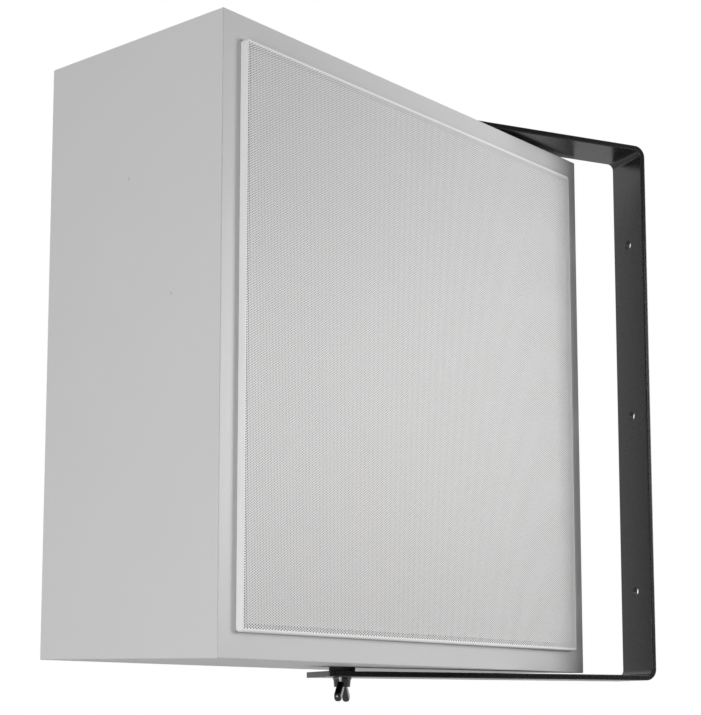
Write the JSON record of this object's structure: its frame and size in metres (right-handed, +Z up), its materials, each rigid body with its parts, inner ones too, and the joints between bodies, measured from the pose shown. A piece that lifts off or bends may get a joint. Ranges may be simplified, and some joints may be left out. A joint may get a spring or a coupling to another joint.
{
  "type": "wall speaker",
  "caption": "Square box loudspeaker with an inset perforated metal grille, held by wing screws in a U-shaped flat-bar wall bracket that lets it swivel.",
  "frame": {"origin": "centre of the middle wall hole, on the strap's wall face", "axes": "+Z up along the strap, +Y into the wall, +X across the strap; the box is swung about its vertical pivot as in the picture"},
  "size_m": [0.2392, 0.3556, 0.3396],
  "materials": {
    "cabinet_paint": "satin light grey paint on board",
    "baffle_board": "flat black stain on board",
    "grille_paint": "light grey powder coat on perforated steel",
    "scrim_cloth": "open woven cloth",
    "foam_tape": "soft light grey foam",
    "bracket_paint": "satin black powder coat",
    "wing_metal": "black plating, polished",
    "washer_steel": "dark plated steel",
    "spacer_rubber": "hard black rubber",
    "insert_brass": "plain brass",
    "basket_paint": "black enamel",
    "gasket_card": "pressed card",
    "surround_rubber": "soft black rubber",
    "spider_cloth": "resin-treated cloth",
    "cone_paper": "pressed paper pulp",
    "former_film": "amber film",
    "copper_wire": "enamelled copper",
    "plated_steel": "zinc plate",
    "ferrite": "sintered ferrite",
    "tag_board": "brown laminate",
    "black_plastic": "fine moulded grain",
    "dome_film": "thin film",
    "circuit_laminate": "green solder mask",
    "capacitor_film": "yellow wrapped film",
    "resistor_ceramic": "white cement",
    "black_screws": "black zinc plate",
    "red_insulation": "soft red insulation",
    "black_insulation": "soft black insulation",
    "grey_insulation": "soft grey insulation",
    "wadding": "felted polyester"
  },
  "bodies": {
    "bracket": {"mounting_bracket": "bracket_paint"},
    "cabinet": {"left_side_panel": "cabinet_paint", "right_side_panel": "cabinet_paint", "top_panel": "cabinet_paint", "bottom_panel": "cabinet_paint", "back_panel": "cabinet_paint", "front_baffle": "baffle_board", "grille": "grille_paint", "grille_scrim": "scrim_cloth", "grille_grip_strips": "foam_tape", "lower_insert": "insert_brass", "lower_spacer": "spacer_rubber", "upper_insert": "insert_brass", "upper_spacer": "spacer_rubber", "driver_basket": "basket_paint", "driver_screws": "plated_steel", "driver_gasket": "gasket_card", "surround": "surround_rubber", "spider": "spider_cloth", "top_plate": "plated_steel", "ferrite_magnet": "ferrite", "yoke": "plated_steel", "driver_tag_strip": "tag_board", "driver_tags": "insert_brass", "tweeter_post": "plated_steel", "tweeter_nut": "plated_steel", "tweeter_housing": "black_plastic", "tweeter_magnet": "ferrite", "tweeter_dome": "dome_film", "tweeter_face": "black_plastic", "crossover_board": "circuit_laminate", "board_standoffs": "black_plastic", "board_screws": "plated_steel", "capacitor": "capacitor_film", "inductor_bobbin": "black_plastic", "inductor_winding": "copper_wire", "resistor": "resistor_ceramic", "terminal_gasket": "foam_tape", "terminal_plate": "black_plastic", "terminal_block": "black_plastic", "terminal_studs": "plated_steel", "plate_screws": "black_screws", "input_wire_red": "red_insulation", "input_wire_black": "black_insulation", "woofer_wire_red": "red_insulation", "woofer_wire_black": "black_insulation", "tweeter_lead": "grey_insulation", "left_damping_pad": "wadding", "right_damping_pad": "wadding"},
    "cone_unit": {"cone": "cone_paper", "voice_coil_former": "former_film", "voice_coil_winding": "copper_wire"},
    "upper_washer": {"upper_washer": "washer_steel"},
    "upper_wing": {"upper_wing_screw": "wing_metal"},
    "lower_washer": {"lower_washer": "washer_steel"},
    "lower_wing": {"lower_wing_screw": "wing_metal"}
  },
  "joints": [
    {"name": "swivel", "type": "hinge", "parent": "bracket", "child": "cabinet", "pos_m": [0, -0.19, 0], "axis": [0, 0, 1], "continuous": true},
    {"name": "cone_travel", "type": "slide", "parent": "cabinet", "child": "cone_unit", "axis": [0.9026, 0.4305, 0], "range_m": [-0.003, 0.003], "stiffness_N_per_m": 1500, "deforming": ["surround", "spider"]},
    {"name": "upper_screw_advance", "type": "slide", "parent": "cabinet", "child": "upper_washer", "axis": [0, 0, -1], "range_m": [-0.0016, 0]},
    {"name": "upper_screw_turn", "type": "hinge", "parent": "upper_washer", "child": "upper_wing", "pos_m": [0, -0.19, 0], "axis": [0, 0, -1], "range_deg": [-730, 0]},
    {"name": "lower_screw_advance", "type": "slide", "parent": "cabinet", "child": "lower_washer", "axis": [0, 0, 1], "range_m": [-0.0016, 0]},
    {"name": "lower_screw_turn", "type": "hinge", "parent": "lower_washer", "child": "lower_wing", "pos_m": [0, -0.19, 0], "axis": [0, 0, 1], "range_deg": [-730, 0]}
  ],
  "couplings": [
    {"joint": "upper_screw_turn", "follows": "upper_screw_advance", "rad_per_m": 7854},
    {"joint": "lower_screw_turn", "follows": "lower_screw_advance", "rad_per_m": 7854}
  ]
}
